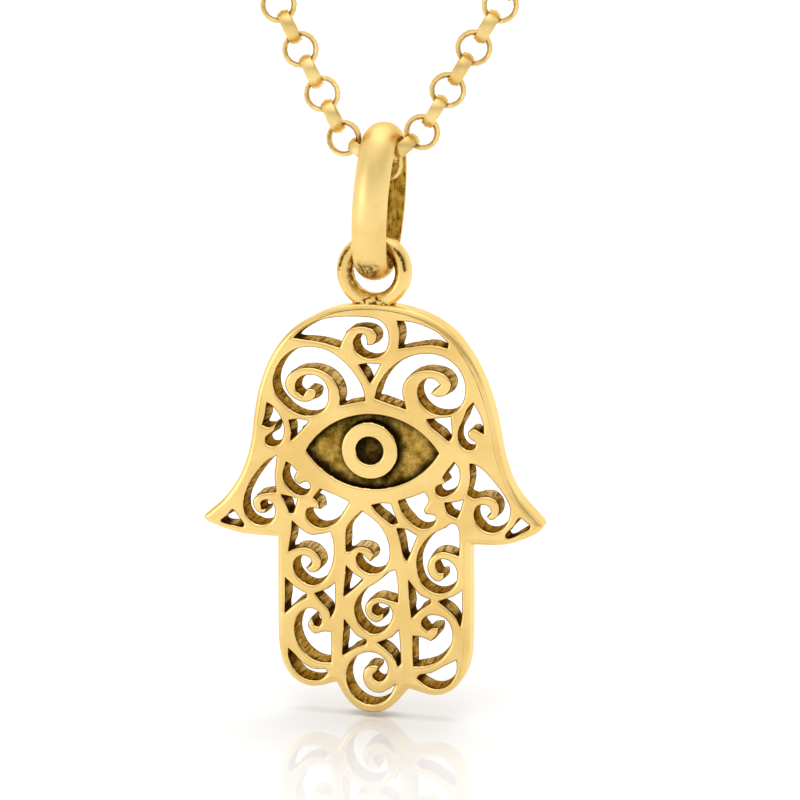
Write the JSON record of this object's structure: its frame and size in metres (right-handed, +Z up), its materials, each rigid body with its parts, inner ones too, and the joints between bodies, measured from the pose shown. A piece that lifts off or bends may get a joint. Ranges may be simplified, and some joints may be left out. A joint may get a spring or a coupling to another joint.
{
  "type": "hamsa pendant on a chain",
  "caption": "Pierced gold hamsa hand with an eye, hung by a loop and a domed bail from a fine belcher chain that closes at the back of the neck in a barrel clasp.",
  "frame": {"origin": "top of the necklace's loop, the middle of the clasp's height at the back of the neck, where the necklace hangs", "axes": "+Z up, away from the pendant; -Y is the front of the hand; +X is to the right seen from the front"},
  "size_m": [0.109, 0.0066, 0.1984],
  "materials": {
    "hand_gold": "polished",
    "bail_gold": "polished",
    "chain_gold": "polished",
    "clasp_gold": "polished"
  },
  "bodies": {
    "chain": {"chain_left": "chain_gold", "chain_right": "chain_gold", "clasp": "clasp_gold"},
    "bail": {"bail": "bail_gold"},
    "hand": {"hand": "hand_gold"}
  },
  "joints": [
    {"name": "bail_swing", "type": "hinge", "parent": "chain", "child": "bail", "pos_m": [-0.00434, 0, -0.15827], "axis": [0.9973, 0, -0.0732], "range_deg": [-25, 25]},
    {"name": "hand_sway", "type": "hinge", "parent": "bail", "child": "hand", "pos_m": [-0.00489, 0, -0.16582], "axis": [0, 1, 0], "range_deg": [-20, 20]}
  ]
}
